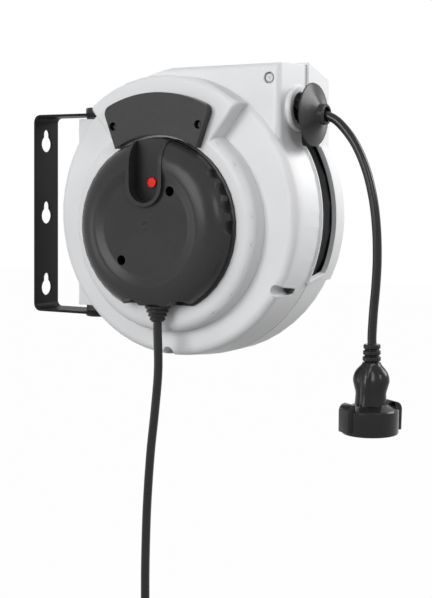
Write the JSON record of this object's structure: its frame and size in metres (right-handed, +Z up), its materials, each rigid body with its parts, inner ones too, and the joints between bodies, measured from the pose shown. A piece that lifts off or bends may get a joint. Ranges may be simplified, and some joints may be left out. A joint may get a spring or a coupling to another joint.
{
  "type": "extension cord reel",
  "caption": "Wall-hung automatic cord reel: round two-part casing with a spring-driven drum on a swivel bracket, a reset button, a stop bell, a hanging socket coupling and a supply lead.",
  "frame": {"origin": "on the wall face of the bracket plate, midway between its middle and upper keyholes", "axes": "+X away from the wall, +Z up, the casing's front cover faces -Y"},
  "size_m": [0.4192, 0.167, 0.7143],
  "materials": {
    "black_paint": "satin powder coat",
    "black_plastic": "fine spark texture",
    "dark_plastic": "plain moulding",
    "grey_plastic": "fine texture, low sheen",
    "steel": "zinc plated",
    "brass": "bright",
    "carbon": "carbon brush",
    "nylon": "natural",
    "red_plastic": "gloss",
    "black_rubber": "matt rubber",
    "cord_rubber": "matt rubber sheath"
  },
  "bodies": {
    "bracket": {"wall_bracket": "black_paint", "upper_pivot_cap": "black_plastic", "upper_pivot_pin": "steel", "lower_pivot_cap": "black_plastic", "lower_pivot_pin": "steel"},
    "housing": {"front_shell": "grey_plastic", "rear_shell": "grey_plastic", "upper_pivot_bush": "dark_plastic", "lower_pivot_bush": "dark_plastic", "connection_cover": "black_plastic", "arched_plate": "black_plastic", "cover_screw_upper": "steel", "cover_screw_lower": "steel", "plate_screw_left": "steel", "plate_screw_right": "steel", "shell_screw_tower": "steel", "shell_screw_right": "steel", "shell_screw_bottom": "steel", "main_shaft": "steel", "shaft_nut": "steel", "spring_arbor": "steel", "brush_holder": "dark_plastic", "brush_1": "carbon", "brush_2": "carbon", "brush_3": "carbon", "thermal_cutout": "dark_plastic", "pawl_pin": "steel", "strain_relief": "black_rubber", "supply_cord": "cord_rubber", "supply_coil": "cord_rubber", "coil_tie": "black_plastic", "supply_plug": "black_rubber", "plug_pin_left": "brass", "plug_pin_right": "brass", "stop_bell": "black_plastic", "output_cord": "cord_rubber", "socket_coupling": "black_rubber"},
    "drum": {"drum_spool": "black_plastic", "drum_front_flange": "black_plastic", "drum_bush_rear": "nylon", "drum_bush_front": "nylon", "mainspring": "steel", "cord_pack_core": "cord_rubber", "cord_winding": "cord_rubber", "slip_ring_carrier": "dark_plastic", "slip_ring_1": "brass", "slip_ring_2": "brass", "slip_ring_3": "brass"},
    "button": {"reset_button": "red_plastic"},
    "pawl": {"pawl": "steel"}
  },
  "joints": [
    {"name": "reel_swivel", "type": "hinge", "parent": "bracket", "child": "housing", "pos_m": [0.072, 0, -0.0385], "axis": [0, 0, 1], "range_deg": [-55, 90]},
    {"name": "drum_spin", "type": "hinge", "parent": "housing", "child": "drum", "pos_m": [0.2, 0, -0.0464], "axis": [0, -1, 0], "continuous": true},
    {"name": "button_press", "type": "slide", "parent": "housing", "child": "button", "axis": [0, 1, 0], "range_m": [0, 0.002], "stiffness_N_per_m": 400},
    {"name": "pawl_swing", "type": "hinge", "parent": "housing", "child": "pawl", "pos_m": [0.1817, -0.0453, 0.06916], "axis": [0, -1, 0], "range_deg": [-14, 0], "stiffness_Nm_per_rad": 0.05}
  ]
}
